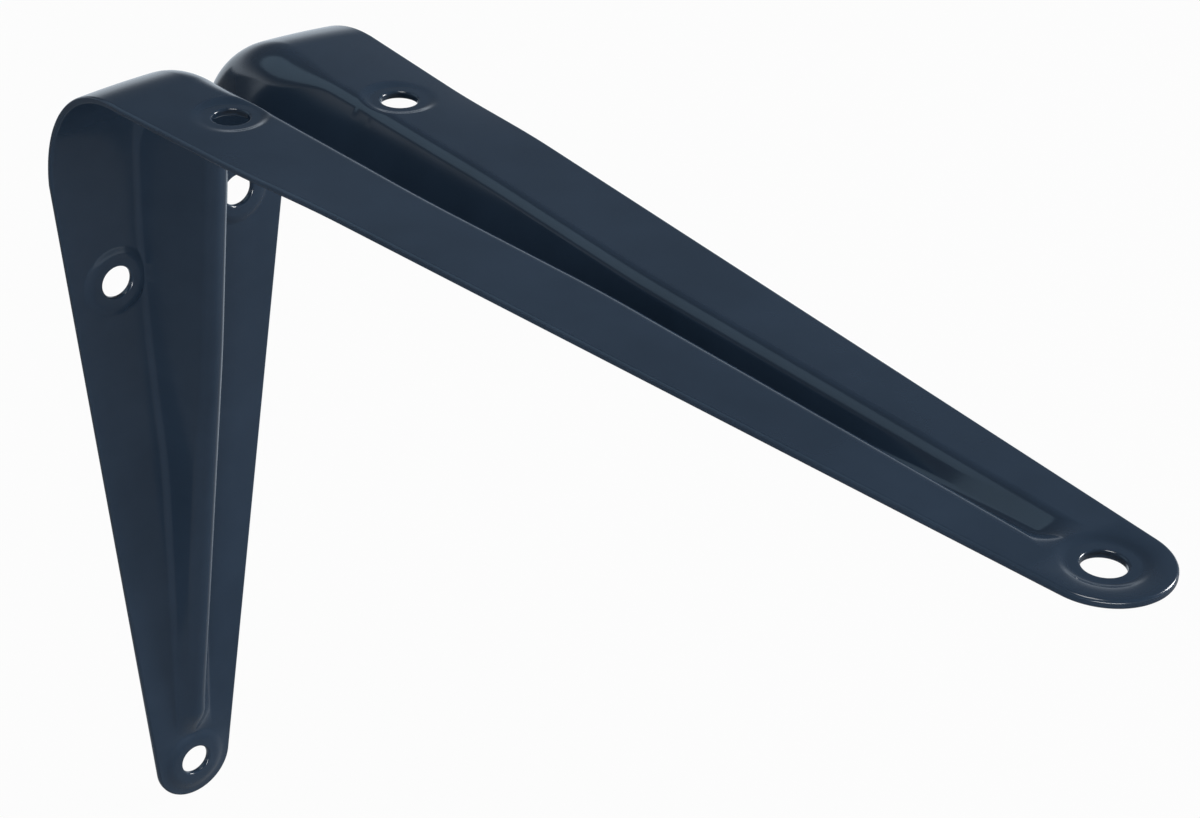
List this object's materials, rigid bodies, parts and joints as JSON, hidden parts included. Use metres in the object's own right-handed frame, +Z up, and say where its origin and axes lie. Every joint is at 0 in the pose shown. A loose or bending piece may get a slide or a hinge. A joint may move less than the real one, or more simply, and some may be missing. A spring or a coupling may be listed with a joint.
{
  "type": "shelf bracket",
  "caption": "Right-angle shelf bracket pressed from sheet steel: tapered wall and shelf arms, a round corner bend, a deep stiffening rib and screw holes.",
  "frame": {"origin": "centre of the lowest screw hole of the wall arm, where it opens in its seat, 0.5 mm in front of the wall", "axes": "+X out from the wall along the shelf arm, +Y along the wall, +Z up towards the shelf"},
  "size_m": [0.2, 0.0464, 0.15],
  "materials": {
    "enamelled_steel": "gloss dark blue-grey stoved enamel over the whole sheet, edges and hole walls included"
  },
  "bodies": {
    "root": {"bracket": "enamelled_steel"}
  },
  "joints": []
}
